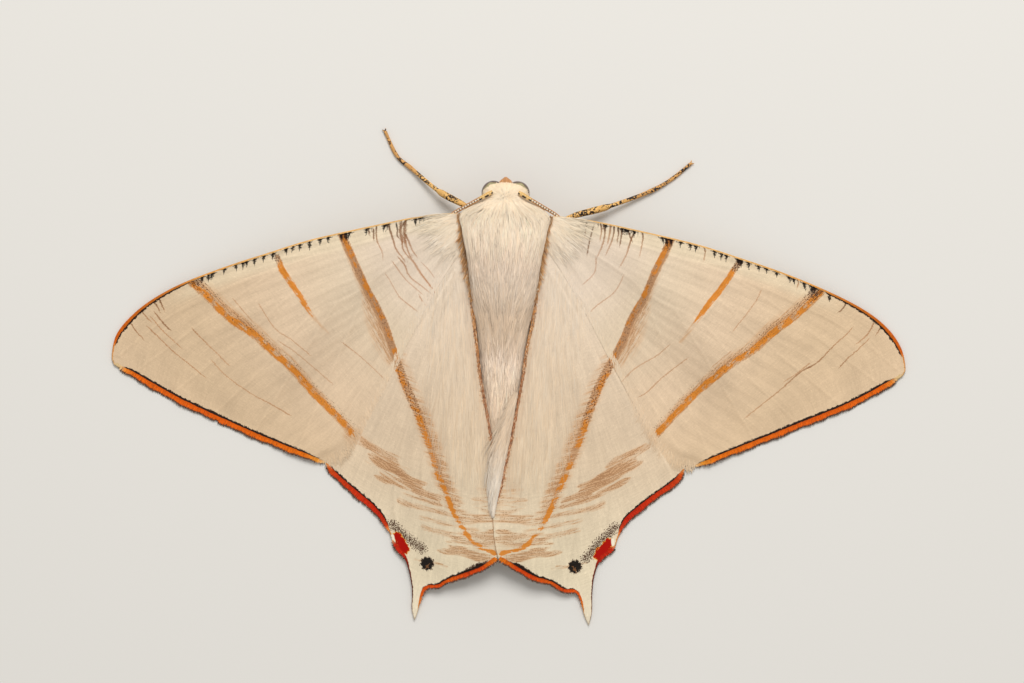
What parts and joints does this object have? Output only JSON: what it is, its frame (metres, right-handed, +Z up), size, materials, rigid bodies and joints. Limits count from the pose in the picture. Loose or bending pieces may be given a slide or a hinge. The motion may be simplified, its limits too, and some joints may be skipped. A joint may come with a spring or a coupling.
{
  "type": "swallow-tailed moth",
  "caption": "Life-size still model of a pale swallow-tailed moth at rest with its wings spread flat, with tailed hindwings, a furry body, fine antennae and slender legs.",
  "frame": {"origin": "centre of the bottom of the model's box, on the floor that the moth rests on", "axes": "+Z up from the floor, +Y from the tails to the head, +X from the moth's left wing tip to its right one, along the wing span"},
  "size_m": [0.068, 0.0422, 0.0062],
  "materials": {
    "wing_scales": "silky cream wing scales with orange-brown bands, dark streaks and an orange to deep red fringe",
    "body_fur": "soft long pale cream hair-like scales",
    "face_scales": "short orange-brown scales",
    "eye": "dark brown faceted dome with a soft shine",
    "antenna": "orange-brown with fine comb-like segments",
    "leg_scales": "orange-yellow scales with black speckles"
  },
  "bodies": {
    "root": {"head": "body_fur", "thorax": "body_fur", "abdomen": "body_fur", "eye_left": "eye", "eye_right": "eye", "palp_left": "face_scales", "palp_right": "face_scales", "antenna_left": "antenna", "antenna_right": "antenna", "forewing_left": "wing_scales", "forewing_right": "wing_scales", "hindwing_left": "wing_scales", "hindwing_right": "wing_scales", "foreleg_left": "leg_scales", "foreleg_right": "leg_scales", "midleg_left": "leg_scales", "midleg_right": "leg_scales", "hindleg_left": "leg_scales", "hindleg_right": "leg_scales"}
  },
  "joints": []
}
